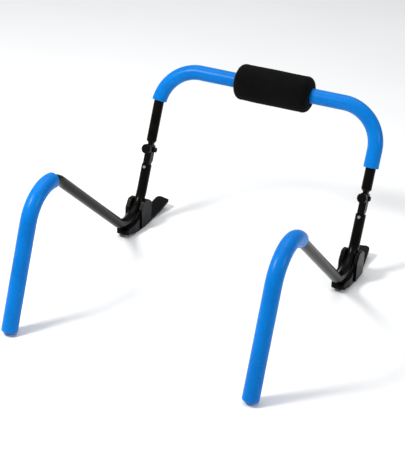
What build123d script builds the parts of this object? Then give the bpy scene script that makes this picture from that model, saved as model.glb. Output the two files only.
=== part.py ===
"""Folding abdominal crunch rocker: two bent side frames hinged to a padded U-shaped hand bar.

Millimetres, +Z up, +X to the right, -Y towards the user's feet.
Origin: centre of the footprint, on the floor.
"""

from build123d import *
import os

os.makedirs("parts", exist_ok=True)

# ---------------------------------------------------------------- driving dimensions

HALF_SPAN = 303.0            # side frame centre planes, each side of the middle

# Corners of the tube centre line in side view, as (y, z), before the bends are rounded
TOP_CORNER = (390.0, 411.7)      # hand bar meets upright
ROCKER_CORNER = (228.0, -18.7)   # upright meets front tube, above the rocker shoe
APEX_CORNER = (-291.3, 381.2)    # front tube meets arm
ARM_END = (-418.9, 12.0)         # lower end of the arm tube

TUBE_RADIUS = 13.5
TUBE_WALL = 1.5
BORE_RADIUS = TUBE_RADIUS - TUBE_WALL
TOP_BEND = 103.0
ROCKER_BEND = 92.0
APEX_BEND = 100.0

LOWER_TUBE_TOP = 192.0       # heights along the upright, from the rocker corner
BRACKET_FOOT = 164.0
PIVOT_HEIGHT = 234.0
BRACKET_TOP = 246.0
UPPER_TUBE_END = 257.0
SCREW_HEIGHT = 184.5

FOAM_RADIUS = 20.0
FOAM_BORE = 13.8
FOAM_TIP_ROUND = 7.0
FOAM_TIP_OVERRUN = 7.8       # closed foam tip beyond the arm tube
FOAM_TIP_WALL = 7.3
FOAM_EDGE = 1.5
FOAM_RUN_IN = 40.0           # spare length before a sleeve's open end, trimmed off
BAR_FOAM_START = {"left": 365.0, "right": 310.0}    # along the upright
ARM_FOAM_RUN_IN = 180.0      # an arm sleeve is drawn from here on the front tube, from the apex corner
ARM_FOAM_TRIM = {"left": 87.0, "right": 40.0}       # then cut back by this much, along the tube

PAD_RADIUS = 48.0
PAD_LENGTH = 204.0
PAD_CENTRE = 8.0
PAD_ROUND = 18.0
PAD_GAP = 0.3

BRACKET_WIDTH = 18.5
BRACKET_WALL = 2.5
BRACKET_ROUND = 3.0
TAIL_TOP = 194.0             # where the bracket clears the lower tube and starts to widen
CHEEK_FOOT = 204.0
WEB_FRONT = 7.4              # web face ahead of the tube centre line
CHEEK_BACK = 14.0            # cheek edge behind the tube centre line
TAIL_BACK = 7.2
PIVOT_BACK = 4.0             # pivot behind the tube centre line
PIVOT_RADIUS = 4.0
RUNNING_GAP = 0.05

TONGUE_WIDTH = 12.9
HUB_RADIUS = 8.6
TONGUE_FRONT = HUB_RADIUS - PIVOT_BACK
SHOULDER_START = 250.5
SHOULDER_RADIUS = 8.5
SHOULDER_EASE = 2.0
PLUG_LENGTH = 24.0

WASHER_RADIUS = 8.0
WASHER_THICK = 1.6
BOLT_HEAD_RADIUS = 7.0
BOLT_HEAD_HEIGHT = 4.5
BOLT_DOME = 3.5
BOLT_SOCKET_RADIUS = 2.9
NUT_APOTHEM = 6.5
NUT_HEIGHT = 6.5
BOLT_TIP = 1.2

KNOB_RADIUS = 13.0
KNOB_FRONT = 28.8            # ahead of the tube centre line
KNOB_BACK = 14.6
KNOB_ROUND = 2.5
KNOB_FLUTES = 12
FLUTE_RADIUS = 2.2
FLUTE_OFFSET = 1.2           # flute centres outside the knob's edge
STUD_TIP = 4.65
STUD_SEAT = 25.5

SCREW_RADIUS = 2.5
SCREW_HEAD_RADIUS = 4.25
SCREW_HEAD_HEIGHT = 2.6
SCREW_HEAD_TAPER = 12
SCREW_HEAD_CLEARANCE = 0.5

ROCKER_RADIUS = 430.0        # curve of the shoe's running surface
ROCKER_CENTRE_Y = 256.3
SHOE_PLATE = 6.0
SHOE_REACH = 60.0            # wider than the shoe, before its plan shape is cut
SADDLE_HALF_WIDTH = 17.0
EAR_INNER = 14.5             # ears stand from just outside the tube ...
EAR_OUTER = 25.0             # ... to a little outside the skid
EAR_ROUND = 9.0
EAR_SHOULDER = 40.0          # corners of an ear above this height are rounded

# Plan of the shoe as (towards the middle of the frame, y), then the rounding of each corner:
# blunt nose, nearly straight sides, and a fin that leans in to a sharp inner rear corner
SHOE_PLAN = [
    (17, 151.4), (23, 190), (23.5, 300), (29, 387), (-8, 394), (-20.5, 290), (-21, 190), (-15, 151.4)
]
SHOE_PLAN_ROUNDS = [13, 40, 100, 2, 12, 100, 40, 12]

# Side outlines as (y, z): the full-width cup at the nose, the narrower saddle that hugs the
# tube above it, and the two ears beside the foot of the upright
CUP_OUTLINE = [(151, 13), (155, 24), (172, 28), (198, 30), (216, 37), (216, 5), (200, 8)]
SADDLE_OUTLINE = [
    (163, 8), (168, 30), (205, 41), (238, 57), (262, 70), (276, 68),
    (284, 64), (284, 40), (300, 6), (256, 3), (200, 5),
]
EAR_OUTLINE = [(228, 4), (224, 56), (240, 78), (264, 76), (284, 62), (284, 4)]

UNDER_SCREW_Y = 186.0        # screw from below, into the lowest point of the bend
UNDER_SCREW_SEAT = 12.5
UNDER_SCREW_TIP = 34.0
REAR_SCREW_Z = 55.0          # screw from behind, through the saddle block
REAR_SCREW_SEAT = 284.0
REAR_SCREW_LENGTH = 34.0

SIDES = {"left": -1, "right": 1}

# ---------------------------------------------------------------- reference points and planes

UPRIGHT_UP = (Vector(0, *TOP_CORNER) - Vector(0, *ROCKER_CORNER)).normalized()
UPRIGHT_BACK = UPRIGHT_UP.cross(Vector(1, 0, 0))
ARM_DOWN = (Vector(0, *ARM_END) - Vector(0, *APEX_CORNER)).normalized()
FRONT_TUBE_BACK = (Vector(0, *ROCKER_CORNER) - Vector(0, *APEX_CORNER)).normalized()


def corner(x, point):
    """A corner of the centre line, in the side plane at x."""
    return Vector(x, *point)


def on_upright(x, height, back=0.0):
    """A point at a height along the upright, offset back from its centre line."""
    return corner(x, ROCKER_CORNER) + UPRIGHT_UP * height + UPRIGHT_BACK * back


def upright_section(x, height):
    """Plane across the upright: local x is +X, local y points back, normal up the tube."""
    return Plane(origin=on_upright(x, height), x_dir=(1, 0, 0), z_dir=UPRIGHT_UP)


def upright_side(x):
    """Side plane of the upright: local x points back, local y up the tube, normal +X."""
    return Plane(origin=corner(x, ROCKER_CORNER), x_dir=UPRIGHT_BACK, z_dir=(1, 0, 0))


def side_view(x):
    """Side plane: local x is +Y, local y is +Z, normal +X."""
    return Plane(origin=(x, 0, 0), x_dir=(0, 1, 0), z_dir=(1, 0, 0))


def facing_front(x, height, front):
    """Plane across the knob axis: normal points forward, at a distance ahead of the tube."""
    return Plane(origin=on_upright(x, height, -front), x_dir=(1, 0, 0), z_dir=-UPRIGHT_BACK)


def save(piece, node):
    """Label a finished piece and write it as its own STEP file."""
    piece.part.label = node
    export_step(piece.part, f"parts/{node}.step")


# ---------------------------------------------------------------- hand bar


def make_handle_tube():
    """U-shaped hand bar: one tube, open at both lower ends."""
    with BuildPart() as handle_tube:
        with BuildLine():
            FilletPolyline(
                on_upright(-HALF_SPAN, UPPER_TUBE_END),
                corner(-HALF_SPAN, TOP_CORNER),
                corner(HALF_SPAN, TOP_CORNER),
                on_upright(HALF_SPAN, UPPER_TUBE_END),
                radius=TOP_BEND,
            )
        with BuildSketch(upright_section(-HALF_SPAN, UPPER_TUBE_END)):
            Circle(TUBE_RADIUS)
            Circle(BORE_RADIUS, mode=Mode.SUBTRACT)
        sweep()
    return handle_tube


def make_bar_foam(name, side):
    """Foam sleeve from the upright, round the top bend and along to the middle pad."""
    x = side * HALF_SPAN
    path_start = BAR_FOAM_START[name] - FOAM_RUN_IN
    pad_face = PAD_CENTRE + side * (PAD_LENGTH / 2 + PAD_GAP)
    with BuildPart() as bar_foam:
        with BuildLine():
            FilletPolyline(
                on_upright(x, path_start),
                corner(x, TOP_CORNER),
                corner(pad_face, TOP_CORNER),
                radius=TOP_BEND,
            )
        with BuildSketch(upright_section(x, path_start)):
            Circle(FOAM_RADIUS)
            Circle(FOAM_BORE, mode=Mode.SUBTRACT)
        sweep()
        split(bisect_by=upright_section(x, BAR_FOAM_START[name]), keep=Keep.TOP)
        chamfer(bar_foam.faces().sort_by(Axis.Z)[0].outer_wire().edges(), FOAM_EDGE)
    return bar_foam


def make_centre_pad():
    """Fat foam roller round the middle of the hand bar."""
    with BuildPart() as centre_pad:
        with BuildSketch(Plane.YZ.offset(PAD_CENTRE - PAD_LENGTH / 2)):
            with Locations(TOP_CORNER):
                Circle(PAD_RADIUS)
        extrude(amount=PAD_LENGTH)
        fillet(centre_pad.edges().filter_by(GeomType.CIRCLE), PAD_ROUND)
        with BuildSketch(Plane.YZ.offset(PAD_CENTRE - PAD_LENGTH / 2)):
            with Locations(TOP_CORNER):
                Circle(FOAM_BORE)
        extrude(amount=PAD_LENGTH, mode=Mode.SUBTRACT)
    return centre_pad


def make_hinge_neck(x):
    """Cast end piece of the hand bar: plug, tapered shoulder and flat hinge tongue."""
    with BuildPart() as hinge_neck:
        with BuildSketch(upright_side(x)):
            with BuildLine():
                Polyline(
                    (-TONGUE_FRONT, PIVOT_HEIGHT),
                    (-TONGUE_FRONT, SHOULDER_START - SHOULDER_EASE),
                    (-TONGUE_FRONT - SHOULDER_EASE, UPPER_TUBE_END),
                    (TONGUE_FRONT + PIVOT_BACK, UPPER_TUBE_END),
                    (HUB_RADIUS + PIVOT_BACK, PIVOT_HEIGHT),
                    close=True,
                )
            make_face()
            with Locations((PIVOT_BACK, PIVOT_HEIGHT)):
                Circle(HUB_RADIUS)
        extrude(amount=TONGUE_WIDTH / 2, both=True)
        with BuildSketch(upright_section(x, SHOULDER_START)):
            Circle(SHOULDER_RADIUS)
        with BuildSketch(upright_section(x, UPPER_TUBE_END)):
            Circle(TUBE_RADIUS)
        loft()
        with BuildSketch(upright_section(x, UPPER_TUBE_END)):
            Circle(BORE_RADIUS - RUNNING_GAP)
        extrude(amount=PLUG_LENGTH)
        with BuildSketch(upright_side(x)):
            with Locations((PIVOT_BACK, PIVOT_HEIGHT)):
                Circle(PIVOT_RADIUS + RUNNING_GAP)
        extrude(amount=TONGUE_WIDTH, both=True, mode=Mode.SUBTRACT)
    return hinge_neck


# ---------------------------------------------------------------- side frame


def make_side_tube(x):
    """Lower upright, rocker bend, front tube, apex bend and arm in one bent tube."""
    with BuildPart() as side_tube:
        with BuildLine():
            FilletPolyline(
                on_upright(x, LOWER_TUBE_TOP),
                corner(x, ROCKER_CORNER),
                corner(x, APEX_CORNER),
                corner(x, ARM_END),
                radius=(ROCKER_BEND, APEX_BEND),
            )
        with BuildSketch(upright_section(x, LOWER_TUBE_TOP)):
            Circle(TUBE_RADIUS)
            Circle(BORE_RADIUS, mode=Mode.SUBTRACT)
        sweep()
        with BuildSketch(facing_front(x, SCREW_HEIGHT, 0)):
            Circle(SCREW_RADIUS + RUNNING_GAP)
        extrude(amount=2 * TUBE_RADIUS, mode=Mode.SUBTRACT)
        with BuildSketch(Plane.XY):
            with Locations((x, UNDER_SCREW_Y)):
                Circle(SCREW_RADIUS + RUNNING_GAP)
        extrude(amount=UNDER_SCREW_TIP, mode=Mode.SUBTRACT)
        with BuildSketch(Plane.XZ.offset(-REAR_SCREW_SEAT)):
            with Locations((x, REAR_SCREW_Z)):
                Circle(SCREW_RADIUS + RUNNING_GAP)
        extrude(amount=REAR_SCREW_LENGTH, mode=Mode.SUBTRACT)
    return side_tube


def make_arm_foam(name, x):
    """Foam sleeve over the apex bend and the whole arm, with a closed rounded tip."""
    tip = corner(x, ARM_END) + ARM_DOWN * FOAM_TIP_OVERRUN
    path_start = corner(x, APEX_CORNER) + FRONT_TUBE_BACK * ARM_FOAM_RUN_IN
    start_plane = Plane(origin=path_start, x_dir=(1, 0, 0), z_dir=-FRONT_TUBE_BACK)
    with BuildPart() as arm_foam:
        with BuildLine():
            centre_line = FilletPolyline(path_start, corner(x, APEX_CORNER), tip, radius=APEX_BEND)
        with BuildSketch(start_plane):
            Circle(FOAM_RADIUS)
        sweep()
        tip_edges = arm_foam.edges().filter_by(GeomType.CIRCLE).sort_by_distance(tip)
        fillet(tip_edges[0], FOAM_TIP_ROUND)
        with BuildLine():
            FilletPolyline(
                path_start,
                corner(x, APEX_CORNER),
                tip - ARM_DOWN * FOAM_TIP_WALL,
                radius=APEX_BEND,
            )
        with BuildSketch(start_plane):
            Circle(FOAM_BORE)
        sweep(mode=Mode.SUBTRACT)
        cut_point = centre_line.position_at(ARM_FOAM_TRIM[name], position_mode=PositionMode.LENGTH)
        cut_heading = centre_line.tangent_at(ARM_FOAM_TRIM[name], position_mode=PositionMode.LENGTH)
        with BuildSketch(Plane(origin=cut_point, x_dir=(1, 0, 0), z_dir=-cut_heading)):
            Circle(4 * FOAM_RADIUS)
        extrude(amount=ARM_FOAM_RUN_IN, mode=Mode.SUBTRACT)
    return arm_foam


def make_hinge_bracket(x):
    """U-channel in the top of the side tube: web in front, open to the back."""
    with BuildPart() as hinge_bracket:
        with BuildSketch(upright_side(x)) as profile:
            with BuildLine():
                Polyline(
                    (-WEB_FRONT, BRACKET_FOOT),
                    (TAIL_BACK, BRACKET_FOOT),
                    (TAIL_BACK, TAIL_TOP),
                    (CHEEK_BACK, CHEEK_FOOT),
                    (CHEEK_BACK, BRACKET_TOP),
                    (-WEB_FRONT, BRACKET_TOP),
                    close=True,
                )
            make_face()
            fillet(profile.vertices().group_by(Axis.Y)[-1], BRACKET_ROUND)
        extrude(amount=BRACKET_WIDTH / 2, both=True)
        with BuildSketch(upright_side(x)):
            with Locations((BRACKET_WALL - WEB_FRONT, BRACKET_FOOT)):
                Rectangle(4 * CHEEK_BACK, 2 * PIVOT_HEIGHT, align=(Align.MIN, Align.CENTER))
        extrude(amount=BRACKET_WIDTH / 2 - BRACKET_WALL, both=True, mode=Mode.SUBTRACT)
        with BuildSketch(upright_side(x)):
            with Locations((PIVOT_BACK, PIVOT_HEIGHT)):
                Circle(PIVOT_RADIUS + RUNNING_GAP)
        extrude(amount=BRACKET_WIDTH, both=True, mode=Mode.SUBTRACT)
        with BuildSketch(facing_front(x, PIVOT_HEIGHT, STUD_TIP)):
            Circle(PIVOT_RADIUS + RUNNING_GAP)
        extrude(amount=WEB_FRONT, mode=Mode.SUBTRACT)
        with BuildSketch(facing_front(x, SCREW_HEIGHT, 0)):
            Circle(SCREW_RADIUS + RUNNING_GAP)
        extrude(amount=2 * WEB_FRONT, mode=Mode.SUBTRACT)
    return hinge_bracket


def pivot_plane(x, side, distance):
    """Plane across the pivot axis, facing outwards on one side of the bracket."""
    origin = on_upright(x + side * distance, PIVOT_HEIGHT, PIVOT_BACK)
    return Plane(origin=origin, x_dir=UPRIGHT_BACK, z_dir=(side, 0, 0))


def make_pivot_bolt(x, side):
    """Button-head bolt through the bracket and the tongue, head on the outer side."""
    head_seat = BRACKET_WIDTH / 2 + WASHER_THICK
    length = 2 * head_seat + NUT_HEIGHT + BOLT_TIP
    with BuildPart() as pivot_bolt:
        with BuildSketch(pivot_plane(x, side, head_seat)):
            Circle(BOLT_HEAD_RADIUS)
        extrude(amount=BOLT_HEAD_HEIGHT)
        dome_edge = pivot_bolt.edges().sort_by(Axis.X)[-1 if side > 0 else 0]
        fillet(dome_edge, BOLT_DOME)
        with BuildSketch(pivot_plane(x, side, head_seat + BOLT_HEAD_HEIGHT)):
            RegularPolygon(radius=BOLT_SOCKET_RADIUS, side_count=6)
        extrude(amount=-BOLT_HEAD_HEIGHT / 2, mode=Mode.SUBTRACT)
        with BuildSketch(pivot_plane(x, side, head_seat)):
            Circle(PIVOT_RADIUS)
        extrude(amount=-length)
    return pivot_bolt


def make_pivot_nut(x, side):
    """Lock nut on the inner side of the bracket."""
    with BuildPart() as pivot_nut:
        with BuildSketch(pivot_plane(x, -side, BRACKET_WIDTH / 2 + WASHER_THICK)):
            RegularPolygon(radius=NUT_APOTHEM, side_count=6, major_radius=False)
            Circle(PIVOT_RADIUS + RUNNING_GAP, mode=Mode.SUBTRACT)
        extrude(amount=NUT_HEIGHT)
    return pivot_nut


def make_pivot_washers(x):
    """Two flat washers, one on each cheek of the bracket."""
    with BuildPart() as pivot_washers:
        for face in (-1, 1):
            with BuildSketch(pivot_plane(x, face, BRACKET_WIDTH / 2)):
                Circle(WASHER_RADIUS)
                Circle(PIVOT_RADIUS + RUNNING_GAP, mode=Mode.SUBTRACT)
            extrude(amount=WASHER_THICK)
    return pivot_washers


def make_knob_nut(x):
    """Hexagon nut welded to the front of the bracket's web, for the knob's stud."""
    with BuildPart() as knob_nut:
        with BuildSketch(facing_front(x, PIVOT_HEIGHT, WEB_FRONT)):
            RegularPolygon(radius=NUT_APOTHEM, side_count=6, major_radius=False)
            Circle(PIVOT_RADIUS + RUNNING_GAP, mode=Mode.SUBTRACT)
        extrude(amount=NUT_HEIGHT)
    return knob_nut


def make_knob_stud(x):
    """Threaded stud of the clamp knob; its tip bears on the hinge tongue."""
    with BuildPart() as knob_stud:
        with BuildSketch(facing_front(x, PIVOT_HEIGHT, STUD_TIP)):
            Circle(PIVOT_RADIUS)
        extrude(amount=STUD_SEAT - STUD_TIP)
    return knob_stud


def make_clamp_knob(x):
    """Round fluted hand knob moulded on the stud."""
    with BuildPart() as clamp_knob:
        with BuildSketch(facing_front(x, PIVOT_HEIGHT, KNOB_BACK)):
            Circle(KNOB_RADIUS)
            Circle(PIVOT_RADIUS + RUNNING_GAP, mode=Mode.SUBTRACT)
        extrude(amount=STUD_SEAT - KNOB_BACK)
        with BuildSketch(facing_front(x, PIVOT_HEIGHT, STUD_SEAT)):
            Circle(KNOB_RADIUS)
        extrude(amount=KNOB_FRONT - STUD_SEAT)
        rims = clamp_knob.edges().filter_by(GeomType.CIRCLE)
        fillet(rims.sort_by(Axis(clamp_knob.part.center(), -UPRIGHT_BACK))[-1], KNOB_ROUND)
        with BuildSketch(facing_front(x, PIVOT_HEIGHT, KNOB_BACK)):
            with PolarLocations(KNOB_RADIUS + FLUTE_OFFSET, KNOB_FLUTES):
                Circle(FLUTE_RADIUS)
        extrude(amount=KNOB_FRONT, mode=Mode.SUBTRACT)
    return clamp_knob


def make_bracket_screw(x):
    """Pan-head screw through the front of the side tube into the bracket's web."""
    with BuildPart() as bracket_screw:
        with BuildSketch(facing_front(x, SCREW_HEIGHT, TUBE_RADIUS)):
            Circle(SCREW_HEAD_RADIUS)
        extrude(amount=SCREW_HEAD_HEIGHT, taper=SCREW_HEAD_TAPER)
        with BuildSketch(facing_front(x, SCREW_HEIGHT, TUBE_RADIUS)):
            Circle(SCREW_RADIUS)
        extrude(amount=-TUBE_RADIUS)
    return bracket_screw


# ---------------------------------------------------------------- rocker shoe


def make_rocker_shoe(x, side):
    """Curved skid under the rocker bend, with a cup and saddle for the tube and two ears beside it."""
    with BuildPart() as rocker_shoe:
        with BuildSketch(side_view(x)):
            with Locations((ROCKER_CENTRE_Y, ROCKER_RADIUS)):
                Circle(ROCKER_RADIUS)
                Circle(ROCKER_RADIUS - SHOE_PLATE, mode=Mode.SUBTRACT)
            with Locations((ROCKER_CENTRE_Y, 0)):
                Rectangle(ROCKER_RADIUS, ROCKER_RADIUS / 2, mode=Mode.INTERSECT)
        extrude(amount=SHOE_REACH, both=True)
        with BuildSketch(side_view(x)):
            with BuildLine():
                Polyline(SADDLE_OUTLINE, close=True)
            make_face()
        extrude(amount=SADDLE_HALF_WIDTH, both=True)
        with BuildSketch(side_view(x)):
            with BuildLine():
                Polyline(CUP_OUTLINE, close=True)
            make_face()
        extrude(amount=SHOE_REACH, both=True)
        with BuildSketch(Plane.XY):
            with BuildLine():
                FilletPolyline(
                    [(x - side * inward, y) for inward, y in SHOE_PLAN],
                    radius=SHOE_PLAN_ROUNDS,
                    close=True,
                )
            make_face()
        extrude(amount=ROCKER_RADIUS / 2, mode=Mode.INTERSECT)
        for hand in (-1, 1):
            with BuildSketch(side_view(x + hand * EAR_INNER)) as ear:
                with BuildLine():
                    Polyline(EAR_OUTLINE, close=True)
                make_face()
                fillet([v for v in ear.vertices() if v.Y > EAR_SHOULDER], radius=EAR_ROUND)
            extrude(amount=hand * (EAR_OUTER - EAR_INNER))
        with BuildLine():
            FilletPolyline(
                on_upright(x, LOWER_TUBE_TOP),
                corner(x, ROCKER_CORNER),
                corner(x, ROCKER_CORNER) - FRONT_TUBE_BACK * LOWER_TUBE_TOP,
                radius=ROCKER_BEND,
            )
        with BuildSketch(upright_section(x, LOWER_TUBE_TOP)):
            Circle(TUBE_RADIUS + RUNNING_GAP)
        sweep(mode=Mode.SUBTRACT)
        with BuildSketch(Plane.XY):
            with Locations((x, UNDER_SCREW_Y)):
                Circle(SCREW_HEAD_RADIUS + SCREW_HEAD_CLEARANCE)
        extrude(amount=UNDER_SCREW_SEAT, mode=Mode.SUBTRACT)
        with BuildSketch(Plane.XY):
            with Locations((x, UNDER_SCREW_Y)):
                Circle(SCREW_RADIUS + RUNNING_GAP)
        extrude(amount=UNDER_SCREW_TIP, mode=Mode.SUBTRACT)
        with BuildSketch(Plane.XZ.offset(-REAR_SCREW_SEAT)):
            with Locations((x, REAR_SCREW_Z)):
                Circle(SCREW_RADIUS + RUNNING_GAP)
        extrude(amount=REAR_SCREW_LENGTH, mode=Mode.SUBTRACT)
    return rocker_shoe


def make_shoe_screws(x):
    """Two pan-head screws that hold the shoe to the tube."""
    with BuildPart() as shoe_screws:
        with BuildSketch(Plane.XY.offset(UNDER_SCREW_SEAT)):
            with Locations((x, UNDER_SCREW_Y)):
                Circle(SCREW_HEAD_RADIUS)
        extrude(amount=-SCREW_HEAD_HEIGHT)
        with BuildSketch(Plane.XY.offset(UNDER_SCREW_SEAT)):
            with Locations((x, UNDER_SCREW_Y)):
                Circle(SCREW_RADIUS)
        extrude(amount=UNDER_SCREW_TIP - UNDER_SCREW_SEAT)
        with BuildSketch(Plane.XZ.offset(-REAR_SCREW_SEAT)):
            with Locations((x, REAR_SCREW_Z)):
                Circle(SCREW_HEAD_RADIUS)
        extrude(amount=-SCREW_HEAD_HEIGHT)
        with BuildSketch(Plane.XZ.offset(-REAR_SCREW_SEAT)):
            with Locations((x, REAR_SCREW_Z)):
                Circle(SCREW_RADIUS)
        extrude(amount=REAR_SCREW_LENGTH)
    return shoe_screws


# ---------------------------------------------------------------- build every piece

save(make_handle_tube(), "handle_tube")
save(make_centre_pad(), "centre_pad")

for name, side in SIDES.items():
    x = side * HALF_SPAN
    save(make_bar_foam(name, side), f"{name}_bar_foam")
    save(make_hinge_neck(x), f"{name}_hinge_neck")
    save(make_side_tube(x), f"{name}_side_tube")
    save(make_arm_foam(name, x), f"{name}_arm_foam")
    save(make_hinge_bracket(x), f"{name}_hinge_bracket")
    save(make_pivot_bolt(x, side), f"{name}_pivot_bolt")
    save(make_pivot_nut(x, side), f"{name}_pivot_nut")
    save(make_pivot_washers(x), f"{name}_pivot_washers")
    save(make_knob_nut(x), f"{name}_knob_nut")
    save(make_knob_stud(x), f"{name}_knob_stud")
    save(make_clamp_knob(x), f"{name}_clamp_knob")
    save(make_bracket_screw(x), f"{name}_bracket_screw")
    save(make_rocker_shoe(x, side), f"{name}_rocker_shoe")
    save(make_shoe_screws(x), f"{name}_shoe_screws")
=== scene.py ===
"""Looks for the folding abdominal crunch rocker: foam sleeves, pad, finishes, light and camera."""

import math

import bpy
from mathutils import Euler, Matrix, Quaternion, Vector, noise


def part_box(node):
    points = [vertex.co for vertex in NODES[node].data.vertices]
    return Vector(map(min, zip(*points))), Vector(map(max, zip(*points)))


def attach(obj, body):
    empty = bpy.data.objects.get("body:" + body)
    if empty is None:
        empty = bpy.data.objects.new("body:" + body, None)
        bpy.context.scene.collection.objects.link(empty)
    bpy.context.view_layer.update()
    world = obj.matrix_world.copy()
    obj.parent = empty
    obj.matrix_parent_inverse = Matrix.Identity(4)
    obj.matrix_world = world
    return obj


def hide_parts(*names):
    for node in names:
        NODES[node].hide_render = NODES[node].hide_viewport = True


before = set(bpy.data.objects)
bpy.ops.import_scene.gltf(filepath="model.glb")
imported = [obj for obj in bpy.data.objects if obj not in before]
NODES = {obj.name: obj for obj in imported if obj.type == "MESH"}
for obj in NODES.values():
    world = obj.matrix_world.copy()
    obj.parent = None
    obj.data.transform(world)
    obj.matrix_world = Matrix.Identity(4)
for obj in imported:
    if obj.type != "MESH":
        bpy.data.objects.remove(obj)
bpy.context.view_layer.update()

SIDES = {"left": -1, "right": 1}

# ---------------------------------------------------------------- dimensions (metres, as in the CAD)

HALF_SPAN = 0.303            # side frame centre planes, each side of the middle

# Corners of the tube centre line in side view, as (y, z), before the bends are rounded
TOP_CORNER = (0.390, 0.4117)         # hand bar meets upright
ROCKER_CORNER = (0.228, -0.0187)     # upright meets front tube
APEX_CORNER = (-0.2913, 0.3812)      # front tube meets arm
ARM_END = (-0.4189, 0.0120)          # lower end of the arm tube
TOP_BEND = 0.103
APEX_BEND = 0.100

FOAM_RADIUS = 0.0199
FOAM_BORE = 0.0139
FOAM_LIP = 0.0030            # length of a cut end's lip
FOAM_LIP_DEPTH = 0.010       # how far the skin goes back into the bore
FOAM_TIP_ROUND = 0.0070
FOAM_TIP_OVERRUN = 0.0077    # closed tip beyond the end of the arm tube
BAR_FOAM_START = {"left": 0.365, "right": 0.310}     # along the upright, from the rocker corner
BAR_FOAM_RUN_IN = 0.04       # a bar sleeve's path is drawn from this far before its open end
ARM_FOAM_RUN_IN = 0.180      # an arm sleeve's path starts here on the front tube, from the apex corner
ARM_FOAM_TRIM = {"left": 0.087, "right": 0.040}      # and is cut back by this much, along the tube
RING_SPACING = 0.003
RING_POINTS = 72
BEND_EASE = 5                # rings over which the creases fade in and out

FOAM_UNEVEN = 0.00022        # slight unevenness of the skin, its scale and its middle value
FOAM_UNEVEN_SCALE = 24.0
FOAM_UNEVEN_LEVEL = 0.25
CREASE_DEPTH = 0.00042       # creases inside the bends
CREASE_SPACING = 0.0085
CREASE_WANDER = 1.3
CREASE_WANDER_SCALE = 90

PAD_GAP = 0.0006             # between the pad and the sleeves beside it
PAD_BORE = 0.0150
PAD_BORE_DEPTH = 0.016
PAD_ROUND = 0.018
PAD_CROWN = 0.0006           # how much lower the pad is near its ends
PAD_INSET = 0.0002
PAD_STEPS = 28
PAD_UNEVEN = 0.0007
PAD_UNEVEN_SCALE = 16.0
PAD_UNEVEN_LEVEL = 0.45

TINY = 1e-6

# ---------------------------------------------------------------- floor, light and camera settings

FLOOR_HALF = 14.0

LIGHT_TARGET = (0.0, 0.0, 0.22)
SOFTBOXES = {
    "key_left": {"direction": (-0.49, -0.46, 0.74), "distance": 2.6, "size": 0.55, "power": 58},
    "fill_right": {"direction": (0.91, -0.02, 0.42), "distance": 2.8, "size": 0.30, "power": 15},
    "overhead": {"direction": (-0.15, 0.25, 1.0), "distance": 4.0, "size": 3.4, "power": 74},
}
SURROUND_COLOUR = (0.95, 0.97, 1.0, 1.0)
SURROUND_STRENGTH = 0.45

CAMERA_SPOT = (1.1981, -2.9258, 1.7208)
CAMERA_TARGET = (-0.0185, 0.0239, 0.1651)
CAMERA_ROLL = math.radians(3.56)
CAMERA_LENS = 115.3
CAMERA_SENSOR = 36.0
CAMERA_CLIP_END = 50.0


# ---------------------------------------------------------------- materials


class Finish:
    """A procedural material: a Principled shader and short calls that feed its sockets."""

    def __init__(self, name):
        self.material = bpy.data.materials.new(name)
        self.material.use_nodes = True
        self.tree = self.material.node_tree
        self.shader = self.tree.nodes["Principled BSDF"]
        self.coords = self.tree.nodes.new("ShaderNodeTexCoord").outputs["Object"]

    def set(self, **values):
        """Give sockets a value that is the same all over."""
        for socket, value in values.items():
            self.shader.inputs[socket.replace("_", " ")].default_value = value

    def stretched(self, scale):
        """Object coordinates scaled along each axis."""
        mapping = self.tree.nodes.new("ShaderNodeMapping")
        mapping.inputs["Scale"].default_value = scale
        self.tree.links.new(self.coords, mapping.inputs["Vector"])
        return mapping.outputs["Vector"]

    def noise(self, scale, detail=3.0, roughness=0.5, vector=None):
        """Cloudy noise, from 0 to 1."""
        node = self.tree.nodes.new("ShaderNodeTexNoise")
        node.inputs["Scale"].default_value = scale
        node.inputs["Detail"].default_value = detail
        node.inputs["Roughness"].default_value = roughness
        self.tree.links.new(vector or self.coords, node.inputs["Vector"])
        return node.outputs["Fac"]

    def cells(self, scale):
        """Distance from the middle of each cell, for foam pores."""
        node = self.tree.nodes.new("ShaderNodeTexVoronoi")
        node.inputs["Scale"].default_value = scale
        self.tree.links.new(self.coords, node.inputs["Vector"])
        return node.outputs["Distance"]

    def ramp(self, value, span, result=(0.0, 1.0)):
        """Map a span of values to a result span, clamped at both ends."""
        node = self.tree.nodes.new("ShaderNodeMapRange")
        node.inputs["From Min"].default_value = span[0]
        node.inputs["From Max"].default_value = span[1]
        node.inputs["To Min"].default_value = result[0]
        node.inputs["To Max"].default_value = result[1]
        self.tree.links.new(value, node.inputs["Value"])
        return node.outputs["Result"]

    def mix(self, factor, first, second):
        """Blend two colours; the first may be a colour or an earlier mix."""
        node = self.tree.nodes.new("ShaderNodeMix")
        node.data_type = "RGBA"
        if isinstance(first, tuple):
            node.inputs["A"].default_value = (*first, 1.0)
        else:
            self.tree.links.new(first, node.inputs["A"])
        node.inputs["B"].default_value = (*second, 1.0)
        self.tree.links.new(factor, node.inputs["Factor"])
        return node.outputs["Result"]

    def feed(self, value, socket):
        """Link an output to one of the shader's sockets."""
        self.tree.links.new(value, self.shader.inputs[socket])

    def bump(self, heights, edge=0.0):
        """Stack bumps given as (height output, strength, distance in metres), on eased edges."""
        normal = None
        if edge:
            eased = self.tree.nodes.new("ShaderNodeBevel")
            eased.samples = 6
            eased.inputs["Radius"].default_value = edge
            normal = eased.outputs["Normal"]
        for height, strength, distance in heights:
            node = self.tree.nodes.new("ShaderNodeBump")
            node.inputs["Strength"].default_value = strength
            node.inputs["Distance"].default_value = distance
            self.tree.links.new(height, node.inputs["Height"])
            if normal is not None:
                self.tree.links.new(normal, node.inputs["Normal"])
            normal = node.outputs["Normal"]
        self.feed(normal, "Normal")


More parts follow.
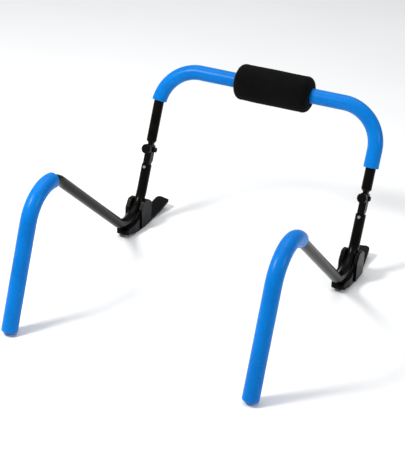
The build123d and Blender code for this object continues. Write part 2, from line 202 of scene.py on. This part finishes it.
def black_enamel():
    """Glossy black powder enamel: faint orange peel, dust film and a few hairline scuffs."""
    clean = (0.0020, 0.0018, 0.0015)
    dusty = (0.0052, 0.0047, 0.0038)
    scuffed = (0.020, 0.0195, 0.018)
    finish = Finish("black_enamel")
    finish.set(IOR=1.5, Specular_IOR_Level=0.07, Specular_Tint=(1.0, 0.94, 0.84, 1.0))
    film = finish.noise(26.0, 5.0, 0.6)
    scuffs = finish.noise(60.0, 4.0, 0.7, finish.stretched((9.0, 1.0, 1.0)))
    base = finish.mix(finish.ramp(film, (0.42, 0.75)), clean, dusty)
    base = finish.mix(finish.ramp(scuffs, (0.69, 0.76), (0.0, 0.5)), base, scuffed)
    finish.feed(base, "Base Color")
    finish.feed(finish.ramp(film, (0.3, 0.8), (0.13, 0.25)), "Roughness")
    peel = finish.noise(420.0, 2.0)
    waves = finish.noise(55.0, 2.0)
    finish.bump([(peel, 0.10, 0.0004), (waves, 0.05, 0.001)], edge=0.0007)
    return finish.material


def satin_enamel():
    """Black enamel on the small stamped and cast hinge parts, duller than on the tubes."""
    clean = (0.0024, 0.0024, 0.0024)
    dusty = (0.0062, 0.0060, 0.0056)
    worn = (0.030, 0.029, 0.027)
    finish = Finish("satin_enamel")
    finish.set(IOR=1.5, Specular_IOR_Level=0.08)
    film = finish.noise(90.0, 5.0, 0.65)
    rubbed = finish.noise(240.0, 3.0, 0.7)
    base = finish.mix(finish.ramp(film, (0.4, 0.75)), clean, dusty)
    base = finish.mix(finish.ramp(rubbed, (0.66, 0.74), (0.0, 0.6)), base, worn)
    finish.feed(base, "Base Color")
    finish.feed(finish.ramp(film, (0.3, 0.8), (0.22, 0.40)), "Roughness")
    finish.bump([(finish.noise(700.0, 3.0), 0.22, 0.0003)], edge=0.0006)
    return finish.material


def blue_foam():
    """Azure closed-cell foam sleeve with a smooth, slightly waxy skin."""
    deep = (0.0003, 0.146, 0.50)
    bright = (0.0005, 0.180, 0.60)
    pale = (0.001, 0.215, 0.66)
    finish = Finish("blue_foam")
    finish.set(IOR=1.46, Specular_IOR_Level=0.12)
    finish.set(Subsurface_Weight=0.05, Subsurface_Scale=0.003, Subsurface_Radius=(0.2, 0.6, 1.0))
    broad = finish.noise(14.0, 3.0, 0.5)
    mottle = finish.noise(190.0, 4.0, 0.6)
    base = finish.mix(finish.ramp(broad, (0.32, 0.70)), deep, bright)
    base = finish.mix(finish.ramp(mottle, (0.52, 0.75), (0.0, 0.35)), base, pale)
    finish.feed(base, "Base Color")
    finish.feed(finish.ramp(mottle, (0.3, 0.75), (0.24, 0.36)), "Roughness")
    cells = finish.cells(1500.0)
    dimples = finish.noise(240.0, 3.0)
    waves = finish.noise(38.0, 2.0)
    finish.bump([(cells, 0.10, 0.0003), (dimples, 0.12, 0.0005), (waves, 0.10, 0.002)])
    return finish.material


def black_foam():
    """Matte black cut foam of the middle pad: open pores, darkened at their centres with painted
    shade, and a soft nap.
    """
    deep = (0.0022, 0.0022, 0.0023)
    greyed = (0.0042, 0.0041, 0.0040)
    # painted shade: the colour put in the pore centres, as if shadowed inside each hollow
    pore_shade = (0.0008, 0.0008, 0.0008)
    finish = Finish("black_foam")
    finish.set(IOR=1.4, Sheen_Weight=0.01, Sheen_Roughness=0.6, Specular_IOR_Level=0.05)
    broad = finish.noise(22.0, 3.0, 0.55)
    pores = finish.cells(900.0)
    base = finish.mix(finish.ramp(broad, (0.3, 0.7)), deep, greyed)
    # painted shade: darken the middle of each pore cell, standing in for shadow in the recess
    base = finish.mix(finish.ramp(pores, (0.0, 0.28), (0.75, 0.0)), base, pore_shade)
    finish.feed(base, "Base Color")
    finish.feed(finish.ramp(finish.noise(300.0, 3.0), (0.3, 0.7), (0.80, 0.96)), "Roughness")
    finish.bump([(pores, 0.35, 0.0006), (finish.noise(420.0, 4.0, 0.6), 0.30, 0.0006)])
    return finish.material


def black_plastic():
    """Moulded black plastic: fine spark-eroded grain, paler where it has been rubbed."""
    deep = (0.0022, 0.0022, 0.0021)
    greyed = (0.0052, 0.0050, 0.0045)
    worn = (0.012, 0.0116, 0.0105)
    finish = Finish("black_plastic")
    finish.set(IOR=1.49, Specular_IOR_Level=0.05)
    grain = finish.noise(1100.0, 2.0, 0.6)
    flow = finish.noise(16.0, 4.0, 0.6)
    rub = finish.noise(85.0, 5.0, 0.72)
    base = finish.mix(finish.ramp(flow, (0.35, 0.7)), deep, greyed)
    base = finish.mix(finish.ramp(rub, (0.58, 0.74), (0.0, 0.5)), base, worn)
    finish.feed(base, "Base Color")
    finish.feed(finish.ramp(flow, (0.3, 0.75), (0.18, 0.32)), "Roughness")
    finish.bump([(grain, 0.22, 0.0003), (finish.noise(60.0, 2.0), 0.08, 0.001)], edge=0.001)
    return finish.material


def zinc_steel():
    """Bright zinc-plated fasteners with a fine lathe grain and slight dulling."""
    bright = (0.66, 0.66, 0.65)
    dulled = (0.46, 0.46, 0.47)
    finish = Finish("zinc_steel")
    finish.set(Metallic=1.0)
    blotch = finish.noise(260.0, 4.0, 0.6)
    grain = finish.noise(900.0, 3.0, 0.6, finish.stretched((1.0, 6.0, 1.0)))
    finish.feed(finish.mix(finish.ramp(blotch, (0.35, 0.7)), bright, dulled), "Base Color")
    finish.feed(finish.ramp(blotch, (0.3, 0.75), (0.20, 0.40)), "Roughness")
    finish.bump([(grain, 0.16, 0.0002)])
    return finish.material


def floor_finish():
    """Plain pale studio floor, barely mottled."""
    dim = (0.90, 0.90, 0.895)
    light = (0.93, 0.93, 0.925)
    finish = Finish("pale_floor")
    finish.set(Specular_IOR_Level=0.2)
    tone = finish.noise(3.0, 2.0)
    finish.feed(finish.mix(tone, dim, light), "Base Color")
    finish.feed(finish.ramp(tone, (0.3, 0.7), (0.72, 0.82)), "Roughness")
    return finish.material


def paint(obj, material):
    """Give an object one material in place of whatever it came with."""
    obj.data.materials.clear()
    obj.data.materials.append(material)


# ---------------------------------------------------------------- foam sleeves


def corner(x, point):
    """A side view corner (y, z) in the plane at x."""
    return Vector((x, *point))


def bent_path(points, radius, spacing):
    """Path along straight runs, each corner rounded to an arc that meets both runs smoothly.

    Each item is (point, heading, direction to the inside of the bend, or None on a straight).
    """
    path = []

    def straight(start, end):
        run = end - start
        count = max(1, round(run.length / spacing))
        for step in range(count):
            path.append((start + run * (step / count), run.normalized(), None))

    start = points[0]
    for before, bend, after in zip(points, points[1:], points[2:]):
        back = (before - bend).normalized()
        ahead = (after - bend).normalized()
        half = back.angle(ahead) / 2
        reach = radius / math.tan(half)
        centre = bend + (back + ahead).normalized() * (radius / math.sin(half))
        arc_start = bend + back * reach
        straight(start, arc_start)
        axis = (arc_start - centre).cross(-back).normalized()
        turn = math.pi - 2 * half
        count = max(4, round(radius * turn / spacing))
        for step in range(count):
            turned = Quaternion(axis, turn * step / count)
            offset = turned @ (arc_start - centre)
            path.append((centre + offset, turned @ -back, -offset.normalized()))
        start = bend + ahead * reach
    straight(start, points[-1])
    path.append((points[-1], (points[-1] - start).normalized(), None))
    return path


def bend_share(path, index):
    """How far into a bend a path item is, from 0 on a straight to 1, eased at both ends."""
    window = path[max(0, index - BEND_EASE):index + BEND_EASE + 1]
    return sum(1 for _, _, inside in window if inside is not None) / len(window)


def foam_ring(centre, heading, side, radius, inside=None, share=0, along=0):
    """One ring of foam: creased a little on the inside of a bend, softly uneven all over."""
    across = heading.cross(side).normalized()
    ring = []
    for step in range(RING_POINTS):
        angle = 2 * math.pi * step / RING_POINTS
        out = across * math.cos(angle) + side * math.sin(angle)
        wobble = noise.noise((centre + out * radius) * FOAM_UNEVEN_SCALE)
        uneven = FOAM_UNEVEN * (wobble - FOAM_UNEVEN_LEVEL)
        crease = 0.0
        if share > 0:
            facing = max(0.0, out.dot(inside))
            wander = CREASE_WANDER * noise.noise(centre * CREASE_WANDER_SCALE)
            wave = 0.5 + 0.5 * math.sin(along * 2 * math.pi / CREASE_SPACING + wander)
            crease = share * facing ** 3 * CREASE_DEPTH * wave
        ring.append(centre + out * (radius + uneven - crease))
    return ring


def skin(name, rings, closed_end):
    """A tube of quads through the rings, with a cap on its last ring if the end is closed."""
    points = [point for ring in rings for point in ring]
    count = RING_POINTS
    faces = []
    for row in range(len(rings) - 1):
        for step in range(count):
            here = row * count + step
            beside = row * count + (step + 1) % count
            faces.append((here, beside, beside + count, here + count))
    if closed_end:
        faces.append(tuple(range(len(points) - count, len(points))))
    mesh = bpy.data.meshes.new(name)
    mesh.from_pydata(points, [], faces)
    mesh.shade_smooth()
    piece = bpy.data.objects.new(name, mesh)
    bpy.context.scene.collection.objects.link(piece)
    return piece


def lip_profile():
    """(distance along, radius) from inside the bore, round the cut end, out to the skin."""
    return [
        (FOAM_LIP_DEPTH, FOAM_BORE),
        (0.0009, FOAM_BORE),
        (0.0002, FOAM_BORE + 0.0005),
        (0.0, FOAM_BORE + 0.0016),
        (0.0001, FOAM_RADIUS - 0.0014),
        (0.0005, FOAM_RADIUS - 0.0005),
        (0.0013, FOAM_RADIUS + 0.00012),
    ]


def tip_profile():
    """(distance before the end, radius) round a closed tip, with a shallow pressed dimple."""
    curve = []
    for angle in range(0, 91, 10):
        turned = math.radians(angle)
        curve.append((
            FOAM_TIP_ROUND * (1 - math.sin(turned)),
            FOAM_RADIUS - FOAM_TIP_ROUND * (1 - math.cos(turned)),
        ))
    return curve + [(0.0002, 0.009), (0.0008, 0.0055), (0.0011, 0.003), (0.0012, 0.0008)]


def foam_sleeve(name, path, side, closed_tip=False):
    """A foam sleeve along a path: a cut lip at its start, and a lip or a closed tip at its end."""
    start, heading, _ = path[0]
    finish, last_heading, _ = path[-1]
    rings = []
    for along, radius in lip_profile():
        rings.append(foam_ring(start + heading * along, heading, side, radius))
    inside = heading
    end_margin = FOAM_TIP_ROUND if closed_tip else FOAM_LIP
    for index, (centre, direction, towards) in enumerate(path):
        inside = towards or inside
        near_start = (centre - start).length < FOAM_LIP
        near_end = (finish - centre).length < end_margin + RING_SPACING / 2
        if near_start or near_end:
            continue
        share = bend_share(path, index)
        along = index * RING_SPACING
        rings.append(foam_ring(centre, direction, side, FOAM_RADIUS, inside, share, along))
    for back, radius in tip_profile() if closed_tip else reversed(lip_profile()):
        rings.append(foam_ring(finish - last_heading * back, last_heading, side, radius))
    return skin(name, rings, closed_tip)


def make_bar_foam(name, side):
    """Sleeve from the upright, round the top bend, up to the middle pad."""
    x = side * HALF_SPAN
    top = corner(x, TOP_CORNER)
    foot = corner(x, ROCKER_CORNER)
    up = (top - foot).normalized()
    cut = foot + up * BAR_FOAM_START[name]
    pad_low, pad_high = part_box("centre_pad")
    pad_face = (pad_high if side > 0 else pad_low)[0] + side * PAD_GAP
    path = bent_path(
        [foot + up * (BAR_FOAM_START[name] - BAR_FOAM_RUN_IN), top, corner(pad_face, TOP_CORNER)],
        TOP_BEND,
        RING_SPACING,
    )
    path = [item for item in path if (item[0] - cut).dot(up) > -TINY]
    plane_normal = up.cross(Vector((1, 0, 0))).normalized()
    piece = foam_sleeve(f"{name}_bar_foam_skin", path, plane_normal)
    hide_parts(f"{name}_bar_foam")
    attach(piece, "handle")
    return piece


def make_arm_foam(name, side):
    """Sleeve from the apex bend down the arm, to its closed tip on the floor."""
    x = side * HALF_SPAN
    apex = corner(x, APEX_CORNER)
    back = (corner(x, ROCKER_CORNER) - apex).normalized()
    end = corner(x, ARM_END)
    down = (end - apex).normalized()
    path = bent_path(
        [apex + back * ARM_FOAM_RUN_IN, apex, end + down * FOAM_TIP_OVERRUN],
        APEX_BEND,
        RING_SPACING,
    )
    travelled = 0.0
    kept = []
    for before, here in zip(path, path[1:]):
        travelled += (here[0] - before[0]).length
        if travelled >= ARM_FOAM_TRIM[name]:
            kept.append(here)
    piece = foam_sleeve(f"{name}_arm_foam_skin", kept, Vector((1, 0, 0)), closed_tip=True)
    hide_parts(f"{name}_arm_foam")
    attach(piece, f"{name}_frame")
    return piece


# ---------------------------------------------------------------- middle pad


def pad_profile(half_length, radius):
    """(distance from the middle, radius) from one end hole, over the pad, to the other."""
    end = [
        (half_length - PAD_BORE_DEPTH, PAD_BORE),
        (half_length - 0.0030, PAD_BORE),
        (half_length - 0.0014, PAD_BORE + 0.0012),
        (half_length - 0.0010, PAD_BORE + 0.0050),
        (half_length - 0.0003, PAD_BORE + 0.0100),
    ]
    for angle in range(0, 91, 9):
        turned = math.radians(angle)
        end.append((
            half_length - PAD_ROUND * (1 - math.cos(turned)),
            radius - PAD_ROUND * (1 - math.sin(turned)),
        ))
    flat = half_length - PAD_ROUND
    body = []
    for step in range(1, PAD_STEPS):
        share = 2 * step / PAD_STEPS - 1
        body.append((-flat * share, radius - PAD_CROWN * share * share))
    return end + body + [(-along, size) for along, size in reversed(end)]


def make_centre_pad():
    """Fat foam roller: crowned, softly uneven, with rolled ends round the bar."""
    low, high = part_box("centre_pad")
    middle = (low + high) / 2
    half_length = (high.x - low.x) / 2
    radius = (high.z - low.z) / 2
    rings = []
    for along, size in pad_profile(half_length, radius - PAD_INSET):
        centre = Vector((middle.x + along, middle.y, middle.z))
        ring = []
        for step in range(RING_POINTS):
            angle = 2 * math.pi * step / RING_POINTS
            out = Vector((0, math.cos(angle), math.sin(angle)))
            wobble = noise.noise((centre + out * size) * PAD_UNEVEN_SCALE)
            uneven = PAD_UNEVEN * (wobble - PAD_UNEVEN_LEVEL)
            ring.append(centre + out * (size + uneven * size / radius))
        rings.append(ring)
    piece = skin("centre_pad_skin", rings, closed_end=False)
    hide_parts("centre_pad")
    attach(piece, "handle")
    return piece


# ---------------------------------------------------------------- build the visual pieces

blue = blue_foam()
black = black_foam()
enamel = black_enamel()
satin = satin_enamel()
plastic = black_plastic()
zinc = zinc_steel()

pad = make_centre_pad()
paint(pad, black)

for name, side in SIDES.items():
    for sleeve in (make_bar_foam(name, side), make_arm_foam(name, side)):
        paint(sleeve, blue)

# Finish of each CAD node by the end of its name; the remaining nodes are zinc fasteners
FINISHES = {
    "handle_tube": enamel,
    "side_tube": enamel,
    "hinge_neck": satin,
    "hinge_bracket": satin,
    "pivot_bolt": satin,
    "pivot_nut": satin,
    "pivot_washers": satin,
    "clamp_knob": plastic,
    "rocker_shoe": plastic,
}
for node_name, node in NODES.items():
    matches = [finish for ending, finish in FINISHES.items() if node_name.endswith(ending)]
    paint(node, matches[0] if matches else zinc)


# ---------------------------------------------------------------- floor, light and camera


def make_floor():
    """Wide, flat, pale floor."""
    far = FLOOR_HALF
    points = [(-far, -far, 0.0), (far, -far, 0.0), (far, far, 0.0), (-far, far, 0.0)]
    mesh = bpy.data.meshes.new("floor")
    mesh.from_pydata(points, [], [(0, 1, 2, 3)])
    floor = bpy.data.objects.new("floor", mesh)
    bpy.context.scene.collection.objects.link(floor)
    paint(floor, floor_finish())


def area_light(name, direction, distance, size, power):
    """A square softbox, aimed at the middle of the object from a direction."""
    target = Vector(LIGHT_TARGET)
    light = bpy.data.lights.new(name, "AREA")
    light.shape = "SQUARE"
    light.size = size
    light.energy = power
    lamp = bpy.data.objects.new(name, light)
    lamp.location = target + Vector(direction).normalized() * distance
    lamp.rotation_euler = (target - lamp.location).to_track_quat("-Z", "Y").to_euler()
    bpy.context.scene.collection.objects.link(lamp)


def make_lights():
    """Two small softboxes, a wide one overhead and a dim surround."""
    for name, softbox in SOFTBOXES.items():
        area_light(name, **softbox)
    world = bpy.data.worlds.new("surround")
    bpy.context.scene.world = world
    world.use_nodes = True
    background = world.node_tree.nodes["Background"]
    background.inputs["Color"].default_value = SURROUND_COLOUR
    background.inputs["Strength"].default_value = SURROUND_STRENGTH
    bpy.context.scene.view_settings.view_transform = "Standard"


def make_camera():
    """Camera above the front right, rolled slightly."""
    data = bpy.data.cameras.new("camera")
    data.sensor_width = CAMERA_SENSOR
    data.lens = CAMERA_LENS
    data.clip_end = CAMERA_CLIP_END
    camera = bpy.data.objects.new("camera", data)
    spot = Vector(CAMERA_SPOT)
    aim = (Vector(CAMERA_TARGET) - spot).to_track_quat("-Z", "Y")
    camera.matrix_world = (
        Matrix.Translation(spot)
        @ aim.to_matrix().to_4x4()
        @ Euler((0.0, 0.0, CAMERA_ROLL)).to_matrix().to_4x4()
    )
    bpy.context.scene.collection.objects.link(camera)
    bpy.context.scene.camera = camera


make_floor()
make_lights()
make_camera()
